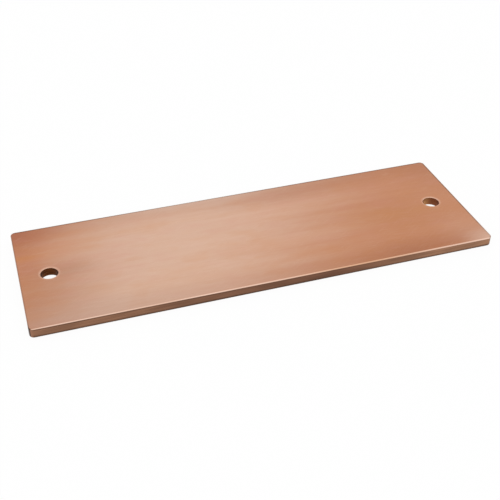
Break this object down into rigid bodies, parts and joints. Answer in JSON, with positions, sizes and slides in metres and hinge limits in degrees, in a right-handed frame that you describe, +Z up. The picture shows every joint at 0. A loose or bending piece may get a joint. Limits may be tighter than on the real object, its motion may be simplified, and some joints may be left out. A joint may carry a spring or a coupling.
{
  "type": "copper busbar",
  "caption": "Flat rectangular copper busbar with softened edges and a drilled bolt hole near each end, for joining or earthing conductors.",
  "frame": {"origin": "centre of the underside, on the plane the bar lies on", "axes": "+X along the length of the bar, +Y across its width, +Z up through its thickness"},
  "size_m": [0.3048, 0.1016, 0.0063],
  "materials": {
    "copper": "satin"
  },
  "bodies": {
    "root": {"busbar": "copper"}
  },
  "joints": []
}
